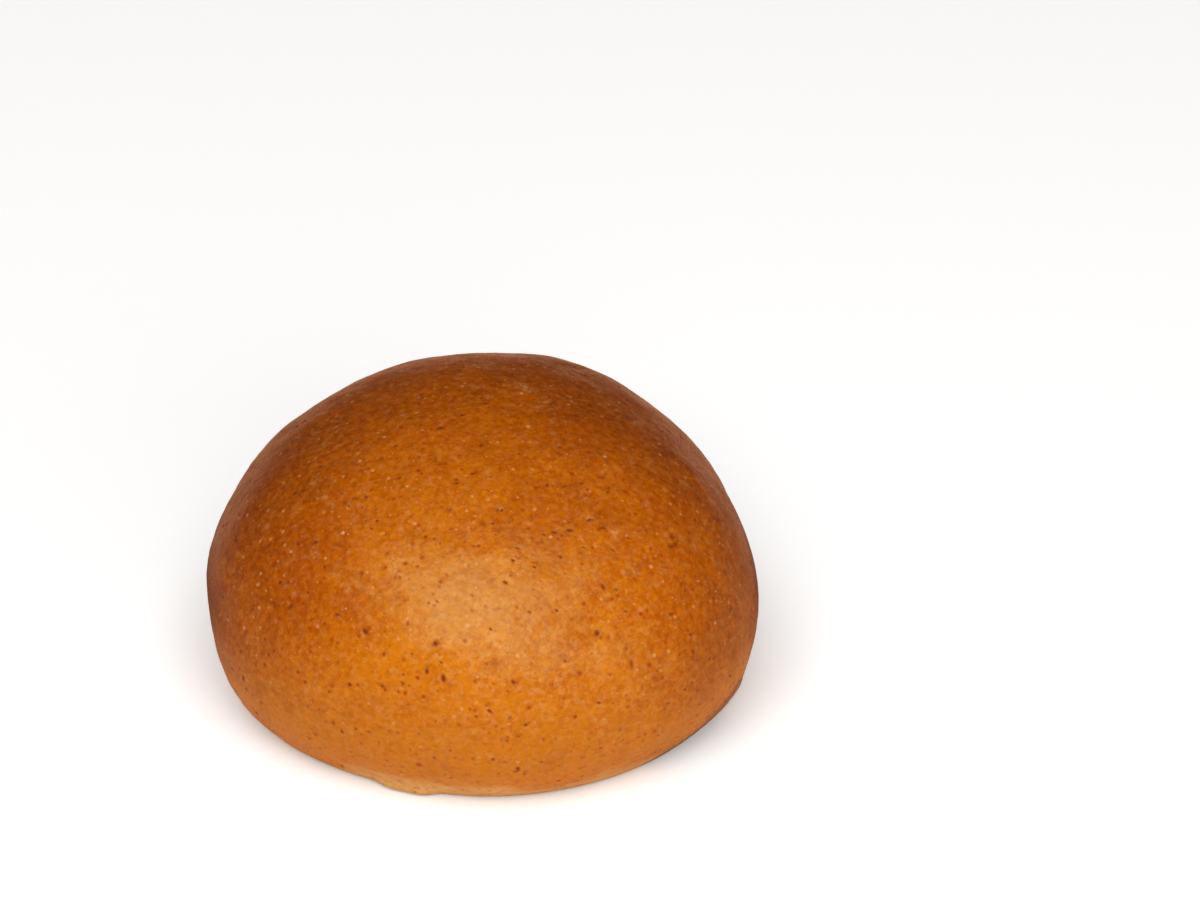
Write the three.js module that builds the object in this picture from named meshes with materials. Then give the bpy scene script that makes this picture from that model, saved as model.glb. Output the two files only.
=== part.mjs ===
// A soft round bread roll, baked in one piece: a domed brown crust, sides that tuck in under
// it, a shallow crease above a rounded lip on its right and rear, and a flat base.
// Millimetres, +Z up. The roll stands on z = 0, and the origin is the middle of its base.
// Azimuth 0 is +X, the roll's right side, 90 is +Y, its rear, and 270 is its front.
import * as THREE from 'three';

// The profile, before the plan makes it uneven.
const WIDEST_RADIUS = 52.5;
const HEIGHT = 55.9;
const WIDEST_LEVEL = 21.3;
const FOOT_RADIUS = 43.5;
// The ellipse of the tuck would close this far below the board, so the board cuts it off.
const TUCK_BELOW_BOARD = 4.0;

// Where the plan swells out of a circle: how many times round the roll, how far at the widest
// level, and the azimuth of one crest.
const PLAN_SWELLS = [
  { count: 2, swell: 1.4, crest: 99 },
  { count: 3, swell: 1.75, crest: 84 },
  { count: 4, swell: 0.25, crest: 51 },
  { count: 5, swell: 0.35, crest: 54 },
  { count: 6, swell: 0.2, crest: 30 },
];

// Relief near the foot. Each runs from one azimuth to another, fading in before the first and
// out after the second. rise is how far it stands out, or in where it is negative. It lies at
// its level above the board, climbs above that towards the crest azimuth and sinks below it
// on the other side, and spread is how far up and down it reaches.
const FOOT_LIP = {
  from: -14, to: 125, fadeIn: 18, fadeOut: 50,
  rise: 3.1, level: 2.6, climb: 1.2, crest: 75, spread: 3.4,
};
const FOOT_CREASE = {
  from: 0, to: 125, fadeIn: 30, fadeOut: 50,
  rise: -1.9, level: 7.4, climb: 3.4, crest: 75, spread: 2.6,
};
const TORN_EDGE = {
  from: 247, to: 254, fadeIn: 6, fadeOut: 6,
  rise: 1.1, level: 0.6, climb: 0, crest: 0, spread: 1.6,
};
const FOOT_RELIEF = [FOOT_LIP, FOOT_CREASE, TORN_EDGE];
// The relief is stronger and weaker by this part, this many times round the roll.
const RIPPLE = 0.22;
const RIPPLE_COUNT = 7;

// Soft swells, and dents where the rise is negative: azimuth, height above the board, how
// wide each one is, and how far it rises from the crust.
const LUMPS = [
  { azimuth: 24, height: 36, spread: 7, rise: 0.2 },
  { azimuth: 41, height: 39, spread: 9, rise: -0.45 },
  { azimuth: 68, height: 45, spread: 7, rise: 0.3 },
  { azimuth: 86, height: 46, spread: 11, rise: -0.3 },
  { azimuth: 136, height: 41, spread: 10, rise: -0.4 },
  { azimuth: 150, height: 37, spread: 7, rise: 0.3 },
  { azimuth: 112, height: 24, spread: 14, rise: -0.7 },
  { azimuth: 72, height: 26, spread: 12, rise: 0.5 },
  { azimuth: 183, height: 27, spread: 9, rise: 0.3 },
  { azimuth: 193, height: 18, spread: 11, rise: -0.4 },
  { azimuth: 222, height: 33, spread: 13, rise: -0.4 },
  { azimuth: 262, height: 38, spread: 12, rise: 0.4 },
  { azimuth: 290, height: 46, spread: 12, rise: -0.4 },
  { azimuth: 314, height: 3, spread: 8, rise: -0.3 },
  { azimuth: 330, height: 10, spread: 8, rise: 0.35 },
  { azimuth: 348, height: 22, spread: 8, rise: 0.1 },
];

// How finely the crust is divided.
const SECTORS = 88;
const DOME_STEPS = 20;
const TUCK_STEPS = 18;
const BASE_STEPS = 4;

const CRUST_COLOUR = 0xb2601a;
const CRUST_ROUGHNESS = 0.5;

// The point of an ellipse at an angle: 0 is level with its centre, a right angle is its tip.
function ellipsePoint(centreRadius, centreLevel, halfWidth, halfHeight, angle) {
  const radius = centreRadius + halfWidth * Math.cos(angle);
  const level = centreLevel + halfHeight * Math.sin(angle);
  return new THREE.Vector2(radius, level);
}

// The tuck's ellipse: it hangs from the widest level, where the side is upright, and is cut
// off where it reaches the foot's radius on the board.
function tuckEllipse() {
  const halfHeight = WIDEST_LEVEL + TUCK_BELOW_BOARD;
  const lastAngle = Math.asin(WIDEST_LEVEL / halfHeight);
  const cosine = Math.cos(lastAngle);
  const centreRadius = (FOOT_RADIUS - WIDEST_RADIUS * cosine) / (1 - cosine);
  return { halfHeight, lastAngle, centreRadius, halfWidth: WIDEST_RADIUS - centreRadius };
}

const TUCK = tuckEllipse();

// The tuck, from the foot up to just under the widest level.
function tuckPoints() {
  const points = [new THREE.Vector2(FOOT_RADIUS, 0)];
  for (let step = TUCK_STEPS - 1; step >= 1; step -= 1) {
    const angle = -TUCK.lastAngle * (step / TUCK_STEPS);
    const { centreRadius, halfWidth, halfHeight } = TUCK;
    points.push(ellipsePoint(centreRadius, WIDEST_LEVEL, halfWidth, halfHeight, angle));
  }
  return points;
}

// The dome: a quarter of an ellipse from the widest level up to the crown.
function domePoints() {
  const points = [];
  for (let step = 0; step < DOME_STEPS; step += 1) {
    const angle = (Math.PI / 2) * (step / DOME_STEPS);
    points.push(ellipsePoint(0, WIDEST_LEVEL, WIDEST_RADIUS, HEIGHT - WIDEST_LEVEL, angle));
  }
  points.push(new THREE.Vector2(0, HEIGHT));
  return points;
}

// The base: rings on the board from the middle out to just inside the foot.
function basePoints() {
  const points = [];
  for (let step = 0; step < BASE_STEPS; step += 1) {
    points.push(new THREE.Vector2(FOOT_RADIUS * (step / BASE_STEPS), 0));
  }
  return points;
}

// The plan's radius at an azimuth, as a part of the mean radius.
function planFactor(azimuth) {
  let factor = 1;
  for (const { count, swell, crest } of PLAN_SWELLS) {
    const turn = azimuth - THREE.MathUtils.degToRad(crest);
    factor += (swell / WIDEST_RADIUS) * Math.cos(count * turn);
  }
  return factor;
}

// 1 between two azimuths in degrees, rising from 0 over fadeIn and falling over fadeOut.
function between(azimuth, { from, to, fadeIn, fadeOut }) {
  const middle = (from + to) / 2;
  const turn = THREE.MathUtils.euclideanModulo(azimuth - middle + 180, 360) - 180;
  const outside = (Math.abs(turn) - (to - from) / 2) / (turn < 0 ? fadeIn : fadeOut);
  return 0.5 + 0.5 * Math.cos(Math.PI * THREE.MathUtils.clamp(outside, 0, 1));
}

// A smooth bump: 1 at 0 and nearly nothing past 2.
function bump(distance) {
  return Math.exp(-distance * distance);
}

// How far the lip, the crease and the torn edge move the side out at an azimuth, in degrees,
// and a level.
function footRise(azimuth, level) {
  const strength = 1 + RIPPLE * Math.cos(RIPPLE_COUNT * THREE.MathUtils.degToRad(azimuth));
  let rise = 0;
  for (const relief of FOOT_RELIEF) {
    const turn = THREE.MathUtils.degToRad(azimuth - relief.crest);
    const middle = relief.level + relief.climb * Math.cos(turn);
    const upright = bump((level - middle) / relief.spread);
    rise += strength * relief.rise * between(azimuth, relief) * upright;
  }
  return rise;
}

// The smooth profile's radius at a level: the dome above the widest one, the tuck below it.
function smoothRadius(level) {
  if (level >= WIDEST_LEVEL) {
    const part = (level - WIDEST_LEVEL) / (HEIGHT - WIDEST_LEVEL);
    return WIDEST_RADIUS * Math.sqrt(1 - part * part);
  }
  const part = (WIDEST_LEVEL - level) / TUCK.halfHeight;
  return TUCK.centreRadius + TUCK.halfWidth * Math.sqrt(1 - part * part);
}

// The middle of each lump, on the smooth crust.
function lumpCentre({ azimuth, height }) {
  const angle = THREE.MathUtils.degToRad(azimuth);
  const radius = smoothRadius(height) * planFactor(angle);
  return new THREE.Vector3(radius * Math.cos(angle), radius * Math.sin(angle), height);
}

// Moves a point of the crust straight out from the roll's heart by the lumps near it. The
// base stays flat.
function addLumps(point, centres) {
  if (point.z <= 0) {
    return;
  }
  const outward = new THREE.Vector3(point.x, point.y, point.z - WIDEST_LEVEL).normalize();
  let rise = 0;
  LUMPS.forEach((lump, index) => {
    rise += lump.rise * bump(point.distanceTo(centres[index]) / lump.spread);
  });
  point.addScaledVector(outward, rise);
  point.z = Math.max(point.z, 0);
}

// Turns the profile once round, then makes it uneven: the plan, the relief near the foot
// and the lumps, with the box of the result centred on the origin.
function rollGeometry() {
  const profile = [...basePoints(), ...tuckPoints(), ...domePoints()];
  const geometry = new THREE.LatheGeometry(profile, SECTORS);
  geometry.rotateX(Math.PI / 2);
  const places = geometry.getAttribute('position');
  const centres = LUMPS.map(lumpCentre);
  const point = new THREE.Vector3();
  for (let index = 0; index < places.count; index += 1) {
    point.fromBufferAttribute(places, index);
    const azimuth = Math.atan2(point.y, point.x);
    const radius = Math.hypot(point.x, point.y);
    const level = Math.max(point.z, 0);
    const rise = footRise(THREE.MathUtils.radToDeg(azimuth), level);
    const reach = radius * planFactor(azimuth) + rise * Math.min(radius / FOOT_RADIUS, 1);
    point.set(reach * Math.cos(azimuth), reach * Math.sin(azimuth), level);
    addLumps(point, centres);
    places.setXYZ(index, point.x, point.y, point.z);
  }
  geometry.computeBoundingBox();
  const middle = geometry.boundingBox.getCenter(new THREE.Vector3());
  geometry.translate(-middle.x, -middle.y, 0);
  geometry.computeVertexNormals();
  return geometry;
}

// The crust: satin, golden to deep brown.
function crustMaterial() {
  return new THREE.MeshStandardMaterial({
    color: CRUST_COLOUR,
    roughness: CRUST_ROUGHNESS,
    metalness: 0,
  });
}

function breadRoll() {
  const roll = new THREE.Mesh(rollGeometry(), crustMaterial());
  roll.name = 'bread_roll';
  return roll;
}

const model = new THREE.Group();
model.add(breadRoll());

export default model;
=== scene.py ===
"""A soft round bread roll: its baked crust, and a plain studio stage to see it on.

Lengths are in metres. The roll stands on z = 0 with the middle of its base at the origin.
Azimuth 0 is +X, the roll's right side, 90 is +Y, its rear, and 270 is its front, which
faces the camera.
"""
import math

import bpy
import numpy as np
from bpy.props import FloatProperty, FloatVectorProperty, IntProperty, PointerProperty
from mathutils import Euler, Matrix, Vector


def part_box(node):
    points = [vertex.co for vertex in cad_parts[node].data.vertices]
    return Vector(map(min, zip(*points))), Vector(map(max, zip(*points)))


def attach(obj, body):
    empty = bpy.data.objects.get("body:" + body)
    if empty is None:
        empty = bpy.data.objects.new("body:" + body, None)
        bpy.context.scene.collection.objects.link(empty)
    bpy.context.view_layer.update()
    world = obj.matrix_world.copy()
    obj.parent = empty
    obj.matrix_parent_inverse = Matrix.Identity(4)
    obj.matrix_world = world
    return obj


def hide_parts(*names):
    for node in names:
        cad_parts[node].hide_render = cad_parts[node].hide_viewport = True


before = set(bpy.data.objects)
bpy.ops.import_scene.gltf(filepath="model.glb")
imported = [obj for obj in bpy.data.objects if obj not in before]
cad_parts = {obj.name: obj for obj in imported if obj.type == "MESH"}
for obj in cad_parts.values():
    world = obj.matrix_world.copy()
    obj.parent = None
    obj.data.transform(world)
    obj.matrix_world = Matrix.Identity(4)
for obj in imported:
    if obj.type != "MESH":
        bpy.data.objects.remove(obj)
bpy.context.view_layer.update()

bl_info = {
    "name": "Bread Roll",
    "version": (1, 0, 0),
    "blender": (4, 5, 0),
    "location": "3D View > Sidebar > Bread Roll",
    "description": "Makes a soft round bread roll with its baked crust, and a studio stage",
    "category": "Add Mesh",
}

MM = 0.001
NODE = "bread_roll"
ROLL_LOW, ROLL_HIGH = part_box(NODE)
ROLL_HEIGHT = ROLL_HIGH.z - ROLL_LOW.z

# The plan's mean radius at its widest level, in millimetres.
WIDEST_RADIUS = 52.5

# Where the plan swells out of a circle: how many times round the roll, how far in millimetres
# at the widest level, and the azimuth of one crest in degrees.
PLAN_SWELLS = (
    (2, 1.4, 99),
    (3, 1.75, 84),
    (4, 0.25, 51),
    (5, 0.35, 54),
    (6, 0.2, 30),
)

# Relief near the foot, in degrees and millimetres: where it runs from and to, its fades, how
# far it stands out, its level, its climb towards the crest azimuth, and its spread.
FOOT_LIP = dict(
    start=-14, end=125, fade_in=18, fade_out=50, rise=3.1, level=2.6, climb=1.2, crest=75, spread=3.4
)
FOOT_CREASE = dict(
    start=0, end=125, fade_in=30, fade_out=50, rise=-1.9, level=7.4, climb=3.4, crest=75, spread=2.6
)
TORN_EDGE = dict(
    start=247, end=254, fade_in=6, fade_out=6, rise=1.1, level=0.6, climb=0, crest=0, spread=1.6
)
RIPPLE = 0.22
RIPPLE_COUNT = 7

# Soft swells, and dents where the rise is negative: azimuth in degrees, then height, spread
# and rise in millimetres.
LUMPS = (
    (24, 36, 7, 0.2),
    (41, 39, 9, -0.45),
    (68, 45, 7, 0.3),
    (86, 46, 11, -0.3),
    (136, 41, 10, -0.4),
    (150, 37, 7, 0.3),
    (112, 24, 14, -0.7),
    (72, 26, 12, 0.5),
    (183, 27, 9, 0.3),
    (193, 18, 11, -0.4),
    (222, 33, 13, -0.4),
    (262, 38, 12, 0.4),
    (290, 46, 12, -0.4),
    (314, 3, 8, -0.3),
    (330, 10, 8, 0.35),
    (348, 22, 8, 0.1),
)

# The bran specks that stand out most: azimuth in degrees, height and size in millimetres, and
# how dark each is. The rest are scattered at random.
KNOWN_SPECKS = (
    (260, 35, 1.4, 1.0),
    (259, 31, 1.2, 0.9),
    (262, 30, 1.5, 1.0),
    (294, 35, 1.4, 1.0),
    (292, 24, 1.0, 0.8),
    (276, 43.5, 1.2, 0.8),
    (271, 25, 1.0, 0.8),
    (306, 44.5, 1.1, 0.7),
    (299, 41, 1.3, 0.8),
    (302, 40, 1.2, 0.7),
    (302, 37, 1.1, 0.7),
    (244, 35, 1.4, 1.0),
    (225, 35, 1.3, 0.8),
    (224, 27, 1.1, 0.7),
    (243, 26, 1.2, 0.8),
    (250, 27, 1.0, 0.7),
    (323, 43, 1.4, 0.8),
    (299, 52, 1.2, 0.8),
    (305, 51.5, 1.1, 0.7),
    (293, 48, 1.2, 0.8),
    (289, 48, 1.0, 0.7),
    (319, 50, 1.1, 0.6),
    (238, 53, 1.3, 0.7),
    (314, 30, 1.2, 0.7),
    (318, 24, 1.2, 0.7),
)

# The larger soft marks that stand out, redder and paler: azimuth in degrees, then height,
# length and width in millimetres.
KNOWN_BLUSHES = (
    (288, 34, 9, 6),
    (272, 33, 6, 4),
    (224, 40, 14, 9),
    (247, 43, 5, 2.5),
    (237, 39, 8, 5),
    (307, 32, 6, 4),
)
KNOWN_SCUFFS = (
    (47, 55, 5, 3),
    (9, 49, 3, 1.6),
    (344, 45, 2.4, 1),
    (309, 46, 3, 2),
    (248, 43.5, 6, 1.6),
    (293, 33, 3, 1.4),
    (247, 33, 2, 1.2),
)

# Where the dry film lies thicker, partly real film and partly a painted highlight where the
# key light's highlight and the fill light's lower veil fall: azimuth in degrees, height and
# spread in millimetres, and how much thicker.
KNOWN_HAZES_AND_HIGHLIGHTS = (
    (267, 39, 11, 0.15),
    (281, 30, 10, 0.10),
    (297, 27, 10, 0.06),
)

# Patches darker than the crust round them, or lighter where the change is negative: partly
# real tone and partly painted light and shade, as on the darker right shoulder and the lighter
# left rim. Azimuth in degrees, height and spread in millimetres, and the change.
KNOWN_TONES_AND_SHADES = (
    (225, 39, 9, 0.17),
    (243, 36, 6, 0.14),
    (220, 48, 9, 0.12),
    (264, 53, 8, -0.08),
    (6, 41, 9, 0.15),
    (258, 24, 8, 0.10),
    (299, 31, 7, -0.12),
    (252, 32, 5, -0.10),
    (275, 44, 4, -0.10),
    (266, 40, 8, 0.10),
    (278, 31, 6, 0.08),
    (205, 32, 7, -0.14),
    (317, 20, 8, 0.10),
)

# How high the pale skin near the foot reaches in millimetres. It reaches higher by each rise:
# the azimuths that it runs from and to and its two fades in degrees, and how much higher.
PALE_HEIGHT = 3
PALE_RISES = (
    (25, 140, 30, 60, 10),
    (243, 258, 8, 40, 3),
    (262, 300, 10, 20, 1.6),
)

# Where the fold runs round the foot, and the painted shade under the bulge at its start: the
# azimuths that each runs from and to and its two fades, in degrees.
FOLD_SPAN = (5, 125, 25, 50)
LIP_SHADE_SPAN = (312, 330, 14, 10)
# The painted shade reaches this high in millimetres at the azimuth of its top, and falls by
# the slope for each degree before it, over this many degrees.
LIP_SHADE_HEIGHT = 12.8
LIP_SHADE_TOP = 329
LIP_SHADE_SLOPE = 0.58
LIP_SHADE_FALL = 25

# The skin's relief: the cell of each noise in millimetres, how far it moves the skin in
# millimetres, and the start of its random draws.
SKIN_NOISES = (
    (24, 0.25, 41),
    (10, 0.24, 42),
    (4.2, 0.08, 43),
    (2.0, 0.04, 44),
)

# The soft boxes: direction from the roll, then distance, width and height in metres.
KEY_LIGHT = ((-0.06, -0.54, 0.84), 2.6, (2.5, 2.4))
FILL_LIGHT = ((0.35, -0.85, 0.35), 2.4, (2.4, 1.0))
LIGHTS_AIM = Vector((0, 0, 0.03))

# Where the crust mirrors the floor as shaded: the shade fades out between these distances
# from the roll's middle, and fades in between these places on the way to its rear, in metres.
SHADE_END = (0.065, 0.115)
SHADE_START = (-0.02, 0.03)

# The part of the ball below this polar angle, in degrees, becomes the base.
FOOT_POLAR = 137
PROFILE_STEP = 0.1 * MM
FOOT_ROUNDING = 0.7 * MM
ROUNDING_STEPS = 30

NOISE_LATTICE = 24
NOISE_GAIN = 1.5

# The photograph's frame in pixels, and where the middle of the roll's base lies in it.
PHOTO_WIDTH = 1200
PHOTO_HEIGHT = 900
BASE_PIXEL = (483.5, 659.0)
PIXELS_PER_METRE = 552 / 0.105
SENSOR_WIDTH = 36.0


class RollShape(bpy.types.PropertyGroup):
    """The roll's sizes and how finely it is made."""

    widest_radius: FloatProperty(
        name="Widest radius",
        description="Mean radius of the plan at its widest level",
        default=WIDEST_RADIUS * MM,
        unit="LENGTH",
    )
    height: FloatProperty(
        name="Height",
        description="Height of the crown above the board",
        default=ROLL_HEIGHT,
        unit="LENGTH",
    )
    widest_level: FloatProperty(
        name="Widest level",
        description="Height of the widest level above the board",
        default=21.3 * MM,
        unit="LENGTH",
    )
    foot_radius: FloatProperty(
        name="Foot radius",
        description="Mean radius of the flat base",
        default=43.5 * MM,
        unit="LENGTH",
    )
    tuck_below: FloatProperty(
        name="Tuck below the board",
        description="How far below the board the ellipse of the tucked side would close",
        default=4.0 * MM,
        unit="LENGTH",
    )
    cells: IntProperty(
        name="Cells",
        description="Cells along each edge of the ball that the roll is shaped from",
        default=128,
    )
    specks: IntProperty(
        name="Specks",
        description="How many bran specks and pores are pressed into the crust",
        default=700,
    )
    blushes: IntProperty(
        name="Blushes",
        description="How many soft redder spots the crust has",
        default=150,
    )
    scuffs: IntProperty(
        name="Scuffs",
        description="How many pale dry marks lie on the crust",
        default=420,
    )
    seed: IntProperty(
        name="Seed",
        description="Start of the random draws",
        default=11,
    )


class CrustLook(bpy.types.PropertyGroup):
    """The crust's colours and gloss."""

    # The ramp from golden to deep brown follows a baked share that holds painted light and shade.
    golden: FloatVectorProperty(
        name="Golden",
        description="Lightly baked crust, low on the front",
        default=(0.55, 0.152, 0.002),
        subtype="COLOR",
    )
    brown: FloatVectorProperty(
        name="Brown",
        description="Crust baked half way",
        default=(0.385, 0.080, 0.001),
        subtype="COLOR",
    )
    deep: FloatVectorProperty(
        name="Deep brown",
        description="Crust baked most, on the crown and the rear",
        default=(0.195, 0.028, 0.0006),
        subtype="COLOR",
    )
    pale: FloatVectorProperty(
        name="Pale",
        description="Skin near the foot that the heat hardly reached",
        default=(0.68, 0.38, 0.12),
        subtype="COLOR",
    )
    underside: FloatVectorProperty(
        name="Underside",
        description="The flat base, browned by the board",
        default=(0.36, 0.16, 0.05),
        subtype="COLOR",
    )
    # Painted shade: the dark colour laid in the crease and under the bulge at the lip's start.
    crease: FloatVectorProperty(
        name="Crease",
        description="The bottom of the crease and the scorched start of the lip",
        default=(0.10, 0.045, 0.018),
        subtype="COLOR",
    )
    speck: FloatVectorProperty(
        name="Speck",
        description="Bran specks and the bottoms of pores",
        default=(0.15, 0.012, 0.001),
        subtype="COLOR",
    )
    freckle: FloatVectorProperty(
        name="Freckle",
        description="Faint bran under the skin",
        default=(0.30, 0.034, 0.002),
        subtype="COLOR",
    )
    blush: FloatVectorProperty(
        name="Blush",
        description="Soft redder spots round bran that lies under the skin",
        default=(0.33, 0.052, 0.002),
        subtype="COLOR",
    )
    dry: FloatVectorProperty(
        name="Dry",
        description="Pale dry film, flecks and scuffs on the skin",
        default=(0.62, 0.30, 0.10),
        subtype="COLOR",
    )
    roughness: FloatProperty(
        name="Roughness",
        description="How matt the crust is",
        default=0.27,
        subtype="FACTOR",
        min=0.0,
        max=1.0,
    )
    gloss_tint: FloatVectorProperty(
        name="Gloss tint",
        description="Colour that the browned skin gives to what it reflects",
        default=(0.56, 0.68, 0.29),
        subtype="COLOR",
    )


class StageLook(bpy.types.PropertyGroup):
    """The floor, the lights and the camera."""

    floor: FloatVectorProperty(
        name="Floor",
        description="Colour of the plain floor",
        default=(0.88, 0.88, 0.88),
        subtype="COLOR",
    )
    # Painted reflection: the crust's rims mirror this warm colour, which stands in for the crust's
    # edge sheen.
    floor_mirrored: FloatVectorProperty(
        name="Floor in reflections",
        description="Colour of the floor where the crust mirrors it, warmed by the crust",
        default=(0.72, 0.35, 0.20),
        subtype="COLOR",
    )
    floor_shaded: FloatVectorProperty(
        name="Shaded floor in reflections",
        description="The same, close behind the roll",
        default=(0.20, 0.09, 0.05),
        subtype="COLOR",
    )
    floor_glow: FloatProperty(
        name="Floor glow",
        description="Light that the camera alone sees on the floor, so that it looks white",
        default=0.2,
    )
    floor_size: FloatProperty(
        name="Floor size",
        description="Width of the square floor",
        default=6.0,
        unit="LENGTH",
    )
    key_power: FloatProperty(
        name="Key light",
        description="Power of the soft box in front of the roll, above and a little left",
        default=90.0,
        unit="POWER",
    )
    fill_power: FloatProperty(
        name="Fill light",
        description="Power of the wide light low in front, a little right",
        default=16.0,
        unit="POWER",
    )
    room: FloatProperty(
        name="Room",
        description="Brightness of the dark studio all round",
        default=0.022,
    )
    room_seen: FloatProperty(
        name="Room seen",
        description="Brightness that the camera alone sees all round, so that it looks white",
        default=0.9,
    )
    side_walls: FloatProperty(
        name="Side walls",
        description="Brightness that the studio's walls add to the left and the right, low down",
        default=0.15,
    )
    wall_colour: FloatVectorProperty(
        name="Wall colour",
        description="Colour of the room's light",
        default=(1.0, 0.70, 0.35),
        subtype="COLOR",
    )
    distance: FloatProperty(
        name="Camera distance",
        description="Distance from the camera to the roll's base",
        default=0.9,
        unit="LENGTH",
    )
    elevation: FloatProperty(
        name="Camera elevation",
        description="How far above the level the camera stands",
        default=math.radians(34),
        unit="ROTATION",
    )


def bump(distance):
    """A smooth bump: e to the minus distance squared."""
    return np.exp(-distance * distance)


def ease(low, high, value):
    """0 below low, 1 above high and 3tt - 2ttt between them."""
    t = np.clip((value - low) / (high - low), 0.0, 1.0)
    return t * t * (3.0 - 2.0 * t)


def between(azimuth, start, end, fade_in, fade_out):
    """1 between two azimuths in degrees, and half a cosine wave down to 0 over each fade."""
    turn = (azimuth - (start + end) / 2 + 180) % 360 - 180
    fade = np.where(turn < 0, fade_in, fade_out)
    outside = (np.abs(turn) - (end - start) / 2) / fade
    return 0.5 + 0.5 * np.cos(np.pi * np.clip(outside, 0, 1))


def azimuths(points):
    """Each point's azimuth in degrees, from -180 to 180."""
    return np.degrees(np.arctan2(points[:, 1], points[:, 0]))


def noise(points, cell, seed):
    """Soft noise of about -1 to 1 over an array of points.

    Each corner of a cubic lattice of this cell holds a random slope. A point takes the
    height of the slopes at its eight corners, blended along each axis by 6t^5-15t^4+10t^3.
    """
    draw = np.random.default_rng(seed)
    slopes = draw.normal(size=(NOISE_LATTICE, NOISE_LATTICE, NOISE_LATTICE, 3))
    slopes /= np.linalg.norm(slopes, axis=-1, keepdims=True)
    place = points / cell + draw.uniform(0, NOISE_LATTICE, 3)
    low = np.floor(place).astype(int)
    part = place - low
    blend = part**3 * (part * (part * 6 - 15) + 10)
    total = np.zeros(len(points))
    for corner in np.ndindex(2, 2, 2):
        i, j, k = ((low + corner) % NOISE_LATTICE).T
        height = ((part - corner) * slopes[i, j, k]).sum(1)
        total += height * np.where(corner, blend, 1 - blend).prod(1)
    return NOISE_GAIN * total


def ball(cells):
    """Directions from the middle of a ball, and the quads that join them.

    Six square grids of (u, v) from -45 to 45 degrees stand on the faces of a cube. A grid
    point is the face's outward axis plus tan u of its right and tan v of its up, made one
    long. Points that faces share are merged, so the ball is closed and has no poles.
    """
    side = np.tan(np.linspace(-np.pi / 4, np.pi / 4, cells + 1))
    u, v = np.meshgrid(side, side, indexing="ij")
    index = np.arange((cells + 1) ** 2).reshape(cells + 1, cells + 1)
    quad = np.stack((index[:-1, :-1], index[1:, :-1], index[1:, 1:], index[:-1, 1:]), -1)
    quad = quad.reshape(-1, 4)
    axes = np.eye(3)
    directions = []
    quads = []
    for axis in range(3):
        for sign in (1, -1):
            right = axes[(axis + 1) % 3]
            up = sign * axes[(axis + 2) % 3]
            face = sign * axes[axis] + u[..., None] * right + v[..., None] * up
            quads.append(quad + len(directions) * index.size)
            directions.append(face.reshape(-1, 3))
    directions = np.concatenate(directions)
    directions /= np.linalg.norm(directions, axis=1, keepdims=True)
    keys = np.round(directions * 1e6).astype(np.int64)
    _, first, merged = np.unique(keys, axis=0, return_index=True, return_inverse=True)
    return directions[first], merged.reshape(-1)[np.concatenate(quads)]


def tuck(shape):
    """The tucked side's ellipse: its half height, middle radius, half width and last angle.

    It hangs from the widest level, where the side is upright, and is cut off where it
    reaches the foot's radius on the board.
    """
    half_height = shape.widest_level + shape.tuck_below
    last = math.asin(shape.widest_level / half_height)
    middle = (shape.foot_radius - shape.widest_radius * math.cos(last)) / (1 - math.cos(last))
    return half_height, middle, shape.widest_radius - middle, last


def outline(shape):
    """Travel, radius and level along the roll's side, evenly spaced, and the foot's travel.

    The dome is radius R sin a and level W + (H - W) cos a. The tuck is a quarter of an
    ellipse that hangs from the widest level W and is cut off at the foot. The base runs in
    along the board. A running average rounds the corner at the foot.
    """
    turn = np.linspace(0, np.pi / 2, 400)
    dome_radius = shape.widest_radius * np.sin(turn)
    dome_level = shape.widest_level + (shape.height - shape.widest_level) * np.cos(turn)
    half_height, middle, half_width, last = tuck(shape)
    turn = np.linspace(0, last, 300)[1:]
    tuck_radius = middle + half_width * np.cos(turn)
    tuck_level = shape.widest_level - half_height * np.sin(turn)
    radius = np.concatenate((dome_radius, tuck_radius, [0.0]))
    level = np.concatenate((dome_level, tuck_level, [0.0]))
    reach = np.concatenate(([0.0], np.cumsum(np.hypot(np.diff(radius), np.diff(level)))))
    foot = reach[-2]
    travel = np.arange(0.0, reach[-1], PROFILE_STEP)
    radius = np.interp(travel, reach, radius)
    level = np.interp(travel, reach, level)
    steps = np.arange(-ROUNDING_STEPS, ROUNDING_STEPS + 1)
    kernel = bump(steps * PROFILE_STEP / FOOT_ROUNDING)
    kernel /= kernel.sum()
    near_foot = bump((travel - foot) / (4 * FOOT_ROUNDING))
    radius += near_foot * (np.convolve(radius, kernel, "same") - radius)
    level += near_foot * (np.convolve(level, kernel, "same") - level)
    return travel, radius, np.maximum(level, 0.0), foot


def side_place(shape, azimuth, height):
    """The point of the smooth side at an azimuth in degrees and a height in millimetres."""
    level = height * MM
    if level >= shape.widest_level:
        part = (level - shape.widest_level) / (shape.height - shape.widest_level)
        radius = shape.widest_radius * math.sqrt(1 - part * part)
    else:
        half_height, middle, half_width, _ = tuck(shape)
        part = (shape.widest_level - level) / half_height
        radius = middle + half_width * math.sqrt(1 - part * part)
    radius *= plan_factor(azimuth)
    angle = math.radians(azimuth)
    return np.array((radius * math.cos(angle), radius * math.sin(angle), level))


def middle_level(relief, azimuth):
    """The level in millimetres that the middle of a relief near the foot follows."""
    return relief["level"] + relief["climb"] * np.cos(np.radians(azimuth - relief["crest"]))


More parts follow.
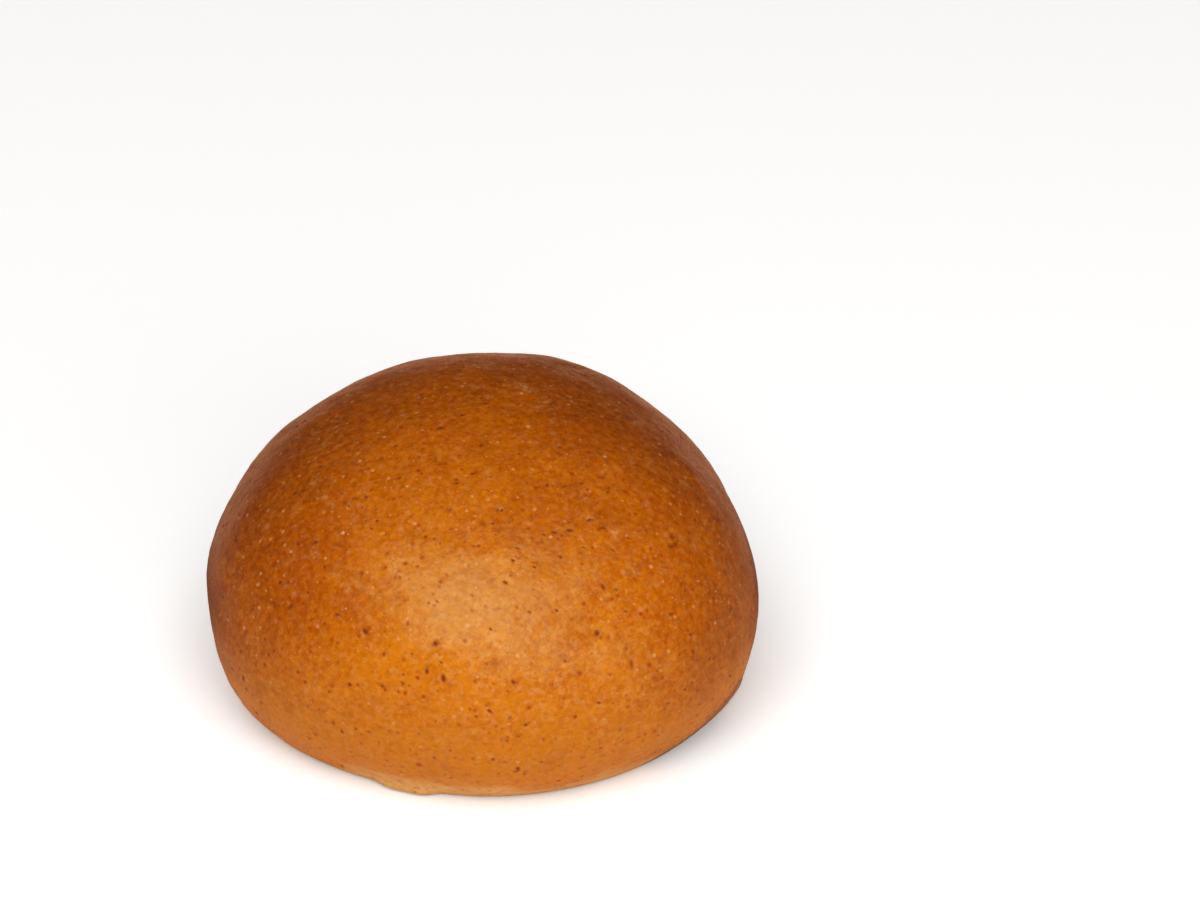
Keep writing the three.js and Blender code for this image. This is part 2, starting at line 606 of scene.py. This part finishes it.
def foot_rise(azimuth, level):
    """How far the lip, the crease and the torn edge move the side out.

    Each is its rise, times its window of azimuths, times a bump up and down about its
    middle level. A ripple makes all of it uneven.
    """
    rise = np.zeros_like(level)
    for relief in (FOOT_LIP, FOOT_CREASE, TORN_EDGE):
        ends = [relief[word] for word in ("start", "end", "fade_in", "fade_out")]
        window = between(azimuth, *ends)
        above = level / MM - middle_level(relief, azimuth)
        rise += relief["rise"] * window * bump(above / relief["spread"])
    return MM * rise * (1 + RIPPLE * np.cos(RIPPLE_COUNT * np.radians(azimuth)))


def plan_factor(azimuth):
    """The plan's radius as a part of its mean: 1 plus the swells' sum divided by the mean.

    Each swell is a cosine that has its count of crests round the roll, one at its azimuth.
    """
    total = 0.0
    for count, swell, crest in PLAN_SWELLS:
        total = total + swell * np.cos(np.radians(count * (azimuth - crest)))
    return 1 + total / WIDEST_RADIUS


def roll_surface(shape, directions):
    """The roll's smooth form over the directions of a ball.

    The polar angle gives the travel along the outline, and so a radius and a level. The
    radius is stretched by the plan and moved by the relief near the foot, and the azimuth
    turns it to its place. Then each lump moves the points near it straight out.
    """
    travel, radius_line, level_line, foot = outline(shape)
    azimuth = azimuths(directions)
    polar = np.degrees(np.arccos(np.clip(directions[:, 2], -1, 1)))
    way = np.interp(polar, (0, FOOT_POLAR, 180), (0, foot, travel[-1]))
    radius = np.interp(way, travel, radius_line)
    level = np.interp(way, travel, level_line)
    rise = foot_rise(azimuth, level) * np.minimum(radius / shape.foot_radius, 1)
    reach = radius * plan_factor(azimuth) + rise
    angle = np.radians(azimuth)
    points = np.stack((reach * np.cos(angle), reach * np.sin(angle), level), -1)
    rise = MM * patches(shape, points, LUMPS)
    outward = points - (0, 0, shape.widest_level)
    outward /= np.linalg.norm(outward, axis=1, keepdims=True)
    rise *= ease(0, 1 * MM, points[:, 2])
    points += outward * rise[:, None]
    middle = (points.min(0) + points.max(0)) / 2
    points -= (middle[0], middle[1], 0)
    return points


def surface_normals(points, quads):
    """Outward normals: each quad's cross product of its diagonals, summed at its corners."""
    a, b, c, d = (points[quads[:, corner]] for corner in range(4))
    flat = np.cross(c - a, d - b)
    total = np.zeros_like(points)
    for corner in range(4):
        for axis in range(3):
            total[:, axis] += np.bincount(quads[:, corner], flat[:, axis], len(points))
    return total / np.linalg.norm(total, axis=1, keepdims=True)


def dabs(points, normals, picks, lengths, widths, strengths, draw):
    """Soft ovals on the surface: the largest, at each point, of all dabs' strengths.

    A dab lies at a picked point, turned at random in the surface there. Its strength falls
    off as a bump of the distance along it over its length and across it over its width.
    """
    total = np.zeros(len(points))
    for pick, length, width, strength in zip(picks, lengths, widths, strengths):
        centre = points[pick]
        near = np.flatnonzero(np.abs(points - centre).max(1) < 2.2 * length)
        along = np.cross(normals[pick], draw.normal(size=3))
        along /= np.linalg.norm(along)
        across = np.cross(normals[pick], along)
        away = points[near] - centre
        dab = strength * bump(np.hypot(away @ along / length, away @ across / width))
        total[near] = np.maximum(total[near], dab)
    return total


def scatter(points, chance, count, draw):
    """Random picks of points, each as likely as its chance."""
    return draw.choice(len(points), count, p=chance / chance.sum())


def nearest(shape, points, places):
    """The point nearest to each place's azimuth and height."""
    centres = [side_place(shape, azimuth, height) for azimuth, height, *_ in places]
    return [int(np.argmin(((points - centre) ** 2).sum(1))) for centre in centres]


def bran_specks(shape, points, normals, crust):
    """Bran specks and pores, from 0 to 1: most are faint and small, and some lie in clusters."""
    draw = np.random.default_rng(shape.seed)
    chance = crust * np.clip(0.6 + 0.9 * noise(points, 13 * MM, 21), 0.05, None)
    picks = scatter(points, chance, shape.specks, draw)
    widths = MM * draw.triangular(0.22, 0.32, 0.56, shape.specks)
    lengths = widths * draw.uniform(1.0, 2.2, shape.specks)
    strengths = draw.triangular(0.15, 0.3, 1.0, shape.specks)
    scattered = dabs(points, normals, picks, lengths, widths, strengths, draw)
    known = np.array(KNOWN_SPECKS)
    sizes = MM * known[:, 2] / 2
    picks = nearest(shape, points, KNOWN_SPECKS)
    placed = dabs(points, normals, picks, sizes * 1.1, sizes * 0.7, known[:, 3], draw)
    return np.maximum(scattered, placed)


def soft_marks(shape, points, normals, crust, count, known, sizes, seed):
    """Soft blotches, from 0 to 1: some that are known, and the rest scattered.

    The scattered ones' widths lie between the two sizes, in millimetres.
    """
    draw = np.random.default_rng(shape.seed + seed)
    chance = crust * np.clip(0.5 + noise(points, 11 * MM, seed), 0.05, None)
    picks = scatter(points, chance, count, draw)
    widths = MM * draw.uniform(*sizes, count)
    lengths = widths * draw.uniform(1.1, 2.6, count)
    strengths = draw.uniform(0.2, 0.8, count)
    scattered = dabs(points, normals, picks, lengths, widths, strengths, draw)
    known = np.array(known)
    picks = nearest(shape, points, known)
    ones = np.ones(len(known))
    placed = dabs(points, normals, picks, MM * known[:, 2] / 2, MM * known[:, 3] / 2, ones, draw)
    return np.maximum(scattered, placed)


def patches(shape, points, places):
    """The sum of soft patches: each is its strength times a bump of the distance from it."""
    total = np.zeros(len(points))
    for azimuth, height, spread, strength in places:
        away = np.linalg.norm(points - side_place(shape, azimuth, height), axis=1)
        total += strength * bump(away / (spread * MM))
    return total


def pale_skin(points):
    """Pale skin by the foot, from 0 to 1: it fades out over a ragged height."""
    level = points[:, 2] / MM
    edge = PALE_HEIGHT + 1.8 * noise(points, 16 * MM, 24)
    edge += 2.2 * noise(points * (1, 1, 2.5), 5 * MM, 25)
    for *span, height in PALE_RISES:
        edge += height * between(azimuths(points), *span)
    return 1 - ease(0.4, 1.15, level / np.clip(edge, PALE_HEIGHT, None))


def painted_lip_shade(points):
    """Painted shade under the bulge at the lip's start, 0 to 1: its ragged upper edge slopes."""
    level = points[:, 2] / MM
    azimuth = azimuths(points)
    before = np.clip(LIP_SHADE_TOP - azimuth % 360, 0, LIP_SHADE_FALL)
    reach = LIP_SHADE_HEIGHT - LIP_SHADE_SLOPE * before + noise(points, 5 * MM, 27)
    return between(azimuth, *LIP_SHADE_SPAN) * (1 - ease(reach - 1.5, reach + 1, level))


def crust_marks(shape, points, normals):
    """The marks on the crust, most of them from 0 to 1, over the points.

    The crease's painted shade is a bump of the height above its own level, made fainter by
    noise in places, and the painted shade under the bulge at the lip's start joins it. The lip
    lies below it, with less pale skin, and has a little of the base's colour. The base is where
    the normal points down.
    """
    crust = ease(3, 12, points[:, 2] / MM)
    args = (shape, points, normals, crust)
    speck = bran_specks(*args)
    blush = soft_marks(*args, shape.blushes, KNOWN_BLUSHES, sizes=(0.8, 2.4), seed=22)
    scuff = soft_marks(*args, shape.scuffs, KNOWN_SCUFFS, sizes=(0.35, 0.75), seed=23)

    azimuth = azimuths(points)
    folded = between(azimuth, *FOLD_SPAN)
    above = points[:, 2] / MM - middle_level(FOOT_CREASE, azimuth)
    # Painted shade in the crease, joined by the painted shade under the bulge at the lip's start.
    crease = folded * bump((above + 0.6) / 1.6) * (0.7 + 0.5 * noise(points, 9 * MM, 26))
    crease = np.clip(np.maximum(crease, 0.95 * painted_lip_shade(points)), 0, 1)
    lip = folded * ease(1.0, -2.0, above)
    patchy = np.clip(0.8 + 0.8 * noise(points, 8 * MM, 28), 0.1, 1.5)
    return {
        "speck": speck,
        "blush": blush,
        "scuff": scuff,
        "pale": pale_skin(points) * (1 - 0.4 * lip),
        "crease": crease,
        "base": np.maximum(ease(-0.75, -0.95, normals[:, 2]), 0.3 * lip * patchy),
        # Partly real dry film and partly a painted highlight where the lights' highlights fall.
        "haze_and_highlight": patches(shape, points, KNOWN_HAZES_AND_HIGHLIGHTS),
    }


def browning_and_shade(shape, points, normals):
    """How baked and how shaded the crust looks, from 0 to 1, by the x and y of its normal.

    It is least on the front, grows with y as far as 0.4 and falls again towards the rear. It
    grows as x towards the right and as x squared towards the left. This is partly real browning
    and partly painted light and shade: lighter on the front that faces the key light, darker on
    the sides and the crown that turn from it. It falls off near the foot, most at the sides and
    the rear. The known patches and two noises make it uneven.
    """
    level = points[:, 2] / MM
    x, y, _ = normals.T
    front = 0.52 * np.minimum(y, 0)
    rear = 0.85 * np.clip(y, 0, 0.4) - 0.25 * ease(0.4, 1.0, y)
    sides = np.where(x < 0, 0.79 * x * x, 0.44 * x)
    foot = bump(level / 15) * (2.2 * x * x + 0.9 * np.maximum(y, 0)) + 0.2 * bump(level / 8)
    bake_and_shade = 0.54 + front + rear + sides - foot
    bake_and_shade += patches(shape, points, KNOWN_TONES_AND_SHADES)
    bake_and_shade += 0.10 * noise(points, 26 * MM, 31) + 0.07 * noise(points, 9 * MM, 32)
    return np.clip(bake_and_shade, 0, 1)


def skin_relief(points, marks):
    """How far the skin stands out from the smooth form, in metres.

    Four scales of noise make it uneven, from soft swells to a leathery grain. Near the foot
    it puckers in short ridges, and the lip is lumpy. Specks are pressed in and scuffs stand
    out a little. All of it fades out at the board.
    """
    level = points[:, 2] / MM
    relief = sum(depth * noise(points, cell * MM, seed) for cell, depth, seed in SKIN_NOISES)
    pucker = 1 - np.abs(noise(points / (1, 1, 2.6), 4.2 * MM, 45))
    relief += 0.22 * (pucker - 0.7) * bump((level - 5) / 6)
    lip = between(azimuths(points), *FOLD_SPAN) * bump((level - 6) / 5)
    relief += (0.8 * noise(points, 7 * MM, 46) + 0.3 * noise(points, 2.5 * MM, 47)) * lip
    relief += 0.03 * marks["scuff"] - 0.09 * marks["speck"]
    return MM * relief * ease(0.6, 4.0, level)


def new_mesh(name, points, quads, marks):
    """A smooth closed mesh from arrays, with each mark as a float attribute of its points."""
    mesh = bpy.data.meshes.new(name)
    mesh.from_pydata(points.tolist(), [], quads.tolist())
    mesh.polygons.foreach_set("use_smooth", np.ones(len(quads), bool))
    for mark, values in marks.items():
        layer = mesh.attributes.new(mark, "FLOAT", "POINT")
        layer.data.foreach_set("value", values.astype(np.float32))
    mesh.update()
    piece = bpy.data.objects.new(name, mesh)
    bpy.context.scene.collection.objects.link(piece)
    return piece


class Nodes:
    """Adds and links nodes in one tree, in the fewest words."""

    def __init__(self, tree):
        self.tree = tree
        tree.nodes.clear()

    def add(self, kind, values=None, **settings):
        """A node with its settings, and with values or links for its inputs."""
        node = self.tree.nodes.new(kind)
        for name, value in settings.items():
            setattr(node, name, value)
        for name, value in (values or {}).items():
            if isinstance(value, bpy.types.NodeSocket):
                self.tree.links.new(value, node.inputs[name])
            else:
                node.inputs[name].default_value = value
        return node

    def math(self, operation, first, second=0.0, third=0.0):
        """The result of a Math node."""
        node = self.add("ShaderNodeMath", {0: first, 1: second, 2: third}, operation=operation)
        return node.outputs[0]

    def mix(self, factor, first, second):
        """Two colours mixed by a factor."""
        values = {"Factor": factor, "A": first, "B": second}
        node = self.tree.nodes.new("ShaderNodeMix")
        node.data_type = "RGBA"
        for name, value in values.items():
            kind = "VALUE" if name == "Factor" else "RGBA"
            socket = next(s for s in node.inputs if s.name == name and s.type == kind)
            if isinstance(value, bpy.types.NodeSocket):
                self.tree.links.new(value, socket)
            else:
                socket.default_value = value
        return next(s for s in node.outputs if s.type == "RGBA")

    def spread(self, value, low, high):
        """0 below low, 1 above high and smooth between them."""
        values = {"Value": value, "From Min": low, "From Max": high}
        node = self.add("ShaderNodeMapRange", values, interpolation_type="SMOOTHSTEP")
        return node.outputs[0]

    def noise(self, place, scale, detail=2.0, roughness=0.5):
        """Noise of 0 to 1."""
        values = {"Vector": place, "Scale": scale, "Detail": detail, "Roughness": roughness}
        return self.add("ShaderNodeTexNoise", values).outputs["Fac"]


def specks_group():
    """A node group of small soft specks, one or none in each cell of a random packing.

    Size is a speck's largest radius over the cell, and Share how many cells have one. Each
    speck has its own size and strength.
    """
    group = bpy.data.node_groups.new("Scattered specks", "ShaderNodeTree")
    for name, kind in (
        ("Vector", "NodeSocketVector"),
        ("Scale", "NodeSocketFloat"),
        ("Size", "NodeSocketFloat"),
        ("Share", "NodeSocketFloat"),
    ):
        group.interface.new_socket(name, in_out="INPUT", socket_type=kind)
    group.interface.new_socket("Mask", in_out="OUTPUT", socket_type="NodeSocketFloat")
    nodes = Nodes(group)
    given = nodes.add("NodeGroupInput").outputs
    cells = nodes.add("ShaderNodeTexVoronoi", {"Vector": given["Vector"], "Scale": given["Scale"]})
    chance = nodes.add("ShaderNodeSeparateColor", {"Color": cells.outputs["Color"]}).outputs
    size = nodes.math("MULTIPLY_ADD", chance[1], 0.6, 0.4)
    size = nodes.math("MULTIPLY", size, given["Size"])
    inside = nodes.math("DIVIDE", cells.outputs["Distance"], size)
    dot = nodes.math("SUBTRACT", 1.0, nodes.spread(inside, 0.1, 1.0))
    strength = nodes.math("MULTIPLY", chance[2], chance[2])
    strength = nodes.math("MULTIPLY_ADD", strength, 0.85, 0.15)
    kept = nodes.math("LESS_THAN", chance[0], given["Share"])
    dot = nodes.math("MULTIPLY", dot, strength)
    nodes.add("NodeGroupOutput", {"Mask": nodes.math("MULTIPLY", dot, kept)})
    return group


class CrustNodes(Nodes):
    """The crust's nodes, with the noises and the place that its layers share."""

    def __init__(self, tree):
        super().__init__(tree)
        self.specks = specks_group()
        self.place = self.add("ShaderNodeTexCoord").outputs["Object"]
        self.coarse = self.noise(self.place, 1 / (6 * MM), 3.0, 0.6)
        self.fine = self.noise(self.place, 1 / (1.3 * MM), 5.0, 0.75)
        self.grain = self.noise(self.place, 1 / (0.75 * MM), 3.0, 0.65)
        wander = self.add("ShaderNodeTexNoise", {"Vector": self.place, "Scale": 1 / (0.7 * MM)})
        self.ragged_place = self.add(
            "ShaderNodeVectorMath",
            {0: wander.outputs["Color"], 1: (0.35 * MM,) * 3, 2: self.place},
            operation="MULTIPLY_ADD",
        ).outputs[0]

    def mark(self, name):
        """One of the marks that the mesh holds."""
        return self.add("ShaderNodeAttribute", attribute_name=name).outputs["Fac"]

    def times(self, first, second):
        """Two masks, or a mask and a strength, multiplied."""
        return self.math("MULTIPLY", first, second)

    def scattered(self, cell, size, share, strength):
        """Ragged scattered specks, one or none in each cell of a size in metres."""
        values = {"Vector": self.ragged_place, "Scale": 1 / cell, "Size": size, "Share": share}
        group = self.add("ShaderNodeGroup", node_tree=self.specks, values=values)
        return self.times(group.outputs["Mask"], strength)

    def baked_and_shaded_colour(self, look):
        """Golden to deep brown by the baked share, with its painted shade, mottled at two scales."""
        mottle = self.math("MULTIPLY_ADD", self.coarse, 0.5, -0.25)
        mottle = self.math("MULTIPLY_ADD", self.fine, 1.5, self.math("SUBTRACT", mottle, 0.75))
        bake_and_shade = self.math("ADD", self.mark("bake_and_shade"), mottle)
        ramp = self.add("ShaderNodeValToRGB", {"Fac": bake_and_shade})
        stops = ramp.color_ramp.elements
        stops[0].position = 0.0
        stops[0].color = (*look.golden, 1.0)
        stops[1].position = 1.0
        stops[1].color = (*look.deep, 1.0)
        stops.new(0.5).color = (*look.brown, 1.0)
        return ramp.outputs["Color"]

    def dry_skin(self):
        """Where the skin is pale and dry: a thin patchy film and bloom, flecks and scuffs.

        The bloom is thicker where the baked share, painted shade in it too, is less, and where the
        haze lies, which is partly a painted highlight.
        """
        blotch = self.spread(self.noise(self.place, 1 / (3.2 * MM), 3.0, 0.7), 0.45, 0.75)
        film = self.times(self.spread(self.grain, 0.62, 0.74), 0.9)
        film = self.times(film, self.math("MULTIPLY_ADD", blotch, 1.2, 0.3))
        bloom = self.spread(self.noise(self.place, 1 / (1.4 * MM), 4.0, 0.7), 0.47, 0.65)
        thick = self.math("MULTIPLY_ADD", self.mark("bake_and_shade"), -0.12, 0.16)
        # More film where the haze lies, which is partly a painted highlight.
        thick = self.math("MULTIPLY_ADD", self.mark("haze_and_highlight"), 1.6, thick)
        film = self.math("MAXIMUM", film, self.times(bloom, thick))
        fleck = self.scattered(1.5 * MM, 0.42, 0.6, 0.9)
        dab = self.scattered(2.5 * MM, 0.48, 0.7, 0.28)
        fleck = self.math("MAXIMUM", fleck, dab)
        scuff = self.times(self.mark("scuff"), self.spread(self.grain, 0.35, 0.65))
        dry = self.math("MAXIMUM", film, fleck)
        return self.math("MAXIMUM", dry, self.times(scuff, 0.6))

    def bran(self):
        """Bran specks: those that the mesh holds, and smaller scattered ones."""
        pressed = self.times(self.spread(self.mark("speck"), 0.1, 0.75), 0.95)
        return self.math("MAXIMUM", pressed, self.scattered(2.2 * MM, 0.33, 0.7, 0.95))

    def roughness(self, look, dry, pale, speck):
        """The look's roughness, uneven by both noises, and more matt where the skin is dry.

        Each noise is a half on average, so half of its share is taken off again.
        """
        coarse_share = 0.34
        grain_share = 0.35
        rough = look.roughness - (coarse_share + grain_share) / 2
        for mask, share in (
            (self.coarse, coarse_share),
            (self.grain, grain_share),
            (dry, 0.3),
            (pale, 0.2),
            (self.mark("base"), 0.3),
            (speck, 0.5),
        ):
            rough = self.math("MULTIPLY_ADD", mask, share, rough)
        return rough

    def skin(self, speck):
        """The normal of the leathery grained skin, with the specks pressed in."""
        leather = self.noise(self.place, 1 / (1.7 * MM), 1.0, 0.5)
        height = self.math("MULTIPLY_ADD", leather, 0.75, self.times(self.grain, 0.4))
        height = self.math("MULTIPLY_ADD", speck, -0.6, height)
        values = {"Strength": 1.0, "Distance": 0.11 * MM, "Height": height}
        return self.add("ShaderNodeBump", values).outputs["Normal"]


def crust_material(look):
    """Satin baked crust: its colours are laid over each other in the order of the layers."""
    material = bpy.data.materials.new("baked crust")
    material.use_nodes = True
    nodes = CrustNodes(material.node_tree)
    pale = nodes.times(nodes.mark("pale"), nodes.spread(nodes.fine, 0.2, 0.6))
    # Painted shade in the crease and under the bulge at the lip's start.
    crease = nodes.times(nodes.mark("crease"), 0.85)
    blush = nodes.times(nodes.mark("blush"), nodes.spread(nodes.fine, 0.3, 0.6))
    dry = nodes.dry_skin()
    freckle = nodes.scattered(1.6 * MM, 0.50, 0.85, 1.15)
    speck = nodes.bran()
    layers = (
        (pale, look.pale),
        (nodes.mark("base"), look.underside),
        (crease, look.crease),
        (nodes.times(blush, 0.6), look.blush),
        (dry, look.dry),
        (freckle, look.freckle),
        (speck, look.speck),
    )
    colour = nodes.baked_and_shaded_colour(look)
    for mask, over in layers:
        colour = nodes.mix(mask, colour, (*over, 1.0))
    shader = nodes.add(
        "ShaderNodeBsdfPrincipled",
        {
            "Base Color": colour,
            "Roughness": nodes.roughness(look, dry, pale, speck),
            "Specular Tint": (*look.gloss_tint, 1.0),
            "Normal": nodes.skin(speck),
        },
    )
    nodes.add("ShaderNodeOutputMaterial", {"Surface": shader.outputs["BSDF"]})
    return material


class BREADROLL_OT_make_roll(bpy.types.Operator):
    """Make the roll: its form, the relief of its skin and its baked crust"""

    bl_idname = "bread_roll.make_roll"
    bl_label = "Make the roll"
    bl_options = {"REGISTER", "UNDO"}

    def execute(self, context):
        shape = context.scene.roll_shape
        directions, quads = ball(shape.cells)
        points = roll_surface(shape, directions)
        normals = surface_normals(points, quads)
        marks = crust_marks(shape, points, normals)
        # The baked share, partly painted light and shade by the normal.
        marks["bake_and_shade"] = browning_and_shade(shape, points, normals)
        points += normals * skin_relief(points, marks)[:, None]
        points[:, 2] = np.maximum(points[:, 2], 0.0)
        roll = new_mesh("baked_roll", points, quads, marks)
        roll.data.materials.append(crust_material(context.scene.crust_look))
        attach(roll, "root")
        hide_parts(NODE)
        return {"FINISHED"}


def floor_material(stage):
    """A plain pale floor, matt.

    The camera sees a little more light on it than there is. The crust mirrors a warmer one, a
    painted tint on its rim reflections, which is dark close behind the roll, a painted shadow.
    """
    material = bpy.data.materials.new("floor")
    material.use_nodes = True
    nodes = Nodes(material.node_tree)
    path = nodes.add("ShaderNodeLightPath").outputs
    place = nodes.add("ShaderNodeTexCoord").outputs["Object"]
    away = nodes.add("ShaderNodeVectorMath", {0: place}, operation="LENGTH").outputs["Value"]
    behind = nodes.add("ShaderNodeSeparateXYZ", {"Vector": place}).outputs["Y"]
    close = nodes.math("SUBTRACT", 1.0, nodes.spread(away, *SHADE_END))
    close = nodes.math("MULTIPLY", close, nodes.spread(behind, *SHADE_START))
    lit = (*stage.floor, 1.0)
    # Painted reflection: a warm floor in the crust's rims, with painted shadow close behind the
    # roll.
    mirrored = nodes.mix(close, (*stage.floor_mirrored, 1.0), (*stage.floor_shaded, 1.0))
    shader = nodes.add(
        "ShaderNodeBsdfPrincipled",
        {
            "Base Color": nodes.mix(path["Is Glossy Ray"], lit, mirrored),
            "Roughness": 0.9,
            "Emission Color": nodes.mix(path["Is Camera Ray"], (0, 0, 0, 1), (1, 1, 1, 1)),
            "Emission Strength": stage.floor_glow,
        },
    )
    nodes.add("ShaderNodeOutputMaterial", {"Surface": shader.outputs["BSDF"]})
    return material


def area_light(name, direction, distance, size, power, target):
    """A soft box of a width and a height that faces the target from a direction, unseen."""
    light = bpy.data.lights.new(name, "AREA")
    light.shape = "RECTANGLE"
    light.size, light.size_y = size
    light.energy = power
    lamp = bpy.data.objects.new(name, light)
    direction = Vector(direction).normalized()
    lamp.location = target + direction * distance
    lamp.rotation_euler = direction.to_track_quat("Z", "Y").to_euler()
    lamp.visible_camera = False
    bpy.context.scene.collection.objects.link(lamp)
    return lamp


def studio_world(stage):
    """A dark room with dim warm walls to the left and the right.

    The walls' light is the square of the direction's x, and fades out from 21 to 33 degrees
    above the level. The camera sees a pale room.
    """
    world = bpy.data.worlds.new("studio")
    world.use_nodes = True
    nodes = Nodes(world.node_tree)
    toward = nodes.add("ShaderNodeTexCoord").outputs["Generated"]
    x, _, z = nodes.add("ShaderNodeSeparateXYZ", {"Vector": toward}).outputs
    low = nodes.math("SUBTRACT", 1.0, nodes.spread(z, 0.36, 0.54))
    walls = nodes.math("MULTIPLY", nodes.math("MULTIPLY", x, x), low)
    strength = nodes.math("MULTIPLY_ADD", walls, stage.side_walls, stage.room)
    seen = nodes.add("ShaderNodeLightPath").outputs["Is Camera Ray"]
    strength = nodes.math("ADD", strength, nodes.math("MULTIPLY", seen, stage.room_seen))
    colour = nodes.mix(seen, (*stage.wall_colour, 1.0), (1, 1, 1, 1))
    glow = nodes.add("ShaderNodeBackground", {"Color": colour, "Strength": strength})
    nodes.add("ShaderNodeOutputWorld", {"Surface": glow.outputs["Background"]})
    return world


def photo_camera(stage):
    """The camera of the photograph.

    It stands in front of the roll at the stage's distance and elevation, level, and is
    turned so that the middle of the base falls on its pixel. The yaw and pitch are found by
    a few rounds of moving them by the miss.
    """
    focal = PIXELS_PER_METRE * stage.distance
    back = Vector((0, -math.cos(stage.elevation), math.sin(stage.elevation)))
    place = back * stage.distance
    data = bpy.data.cameras.new("camera")
    data.sensor_width = SENSOR_WIDTH
    data.lens = focal / PHOTO_WIDTH * SENSOR_WIDTH
    data.clip_start = 0.05
    data.clip_end = 50
    camera = bpy.data.objects.new("camera", data)
    camera.location = place
    aim = Vector((BASE_PIXEL[0] - PHOTO_WIDTH / 2, PHOTO_HEIGHT / 2 - BASE_PIXEL[1]))
    pitch = math.pi / 2 - stage.elevation
    yaw = 0.0
    for _ in range(6):
        turn = Euler((pitch, 0, yaw)).to_matrix()
        seen = turn.transposed() @ -place
        miss = Vector((seen.x, seen.y)) * (focal / -seen.z) - aim
        pitch += miss.y / focal
        yaw -= miss.x / focal / math.cos(stage.elevation)
    camera.rotation_euler = (pitch, 0, yaw)
    bpy.context.scene.collection.objects.link(camera)
    bpy.context.scene.camera = camera


class BREADROLL_OT_set_stage(bpy.types.Operator):
    """Set the stage: a pale floor, soft lights and the camera"""

    bl_idname = "bread_roll.set_stage"
    bl_label = "Set the stage"
    bl_options = {"REGISTER", "UNDO"}

    def execute(self, context):
        stage = context.scene.roll_stage
        half = stage.floor_size / 2
        corners = [(-half, -half, 0), (half, -half, 0), (half, half, 0), (-half, half, 0)]
        mesh = bpy.data.meshes.new("floor")
        mesh.from_pydata(corners, [], [(0, 1, 2, 3)])
        mesh.materials.append(floor_material(stage))
        floor = bpy.data.objects.new("floor", mesh)
        context.scene.collection.objects.link(floor)
        area_light("key", *KEY_LIGHT, stage.key_power, LIGHTS_AIM)
        area_light("fill", *FILL_LIGHT, stage.fill_power, LIGHTS_AIM)
        context.scene.world = studio_world(stage)
        context.scene.view_settings.view_transform = "Standard"
        photo_camera(stage)
        return {"FINISHED"}


class BREADROLL_PT_panel(bpy.types.Panel):
    """The roll's settings, and a button for each step"""

    bl_label = "Bread Roll"
    bl_idname = "BREADROLL_PT_panel"
    bl_space_type = "VIEW_3D"
    bl_region_type = "UI"
    bl_category = "Bread Roll"

    def draw(self, context):
        scene = context.scene
        steps = (
            (scene.roll_shape, None),
            (scene.crust_look, BREADROLL_OT_make_roll.bl_idname),
            (scene.roll_stage, BREADROLL_OT_set_stage.bl_idname),
        )
        for group, operator in steps:
            column = self.layout.column()
            for name in group.__annotations__:
                column.prop(group, name)
            if operator:
                column.operator(operator)


CLASSES = (
    RollShape,
    CrustLook,
    StageLook,
    BREADROLL_OT_make_roll,
    BREADROLL_OT_set_stage,
    BREADROLL_PT_panel,
)


def register():
    for item in CLASSES:
        bpy.utils.register_class(item)
    bpy.types.Scene.roll_shape = PointerProperty(type=RollShape)
    bpy.types.Scene.crust_look = PointerProperty(type=CrustLook)
    bpy.types.Scene.roll_stage = PointerProperty(type=StageLook)


def unregister():
    del bpy.types.Scene.roll_stage
    del bpy.types.Scene.crust_look
    del bpy.types.Scene.roll_shape
    for item in reversed(CLASSES):
        bpy.utils.unregister_class(item)


def main():
    """Registers the classes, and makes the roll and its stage."""
    register()
    bpy.ops.bread_roll.make_roll()
    bpy.ops.bread_roll.set_stage()


if __name__ == "__main__":
    main()
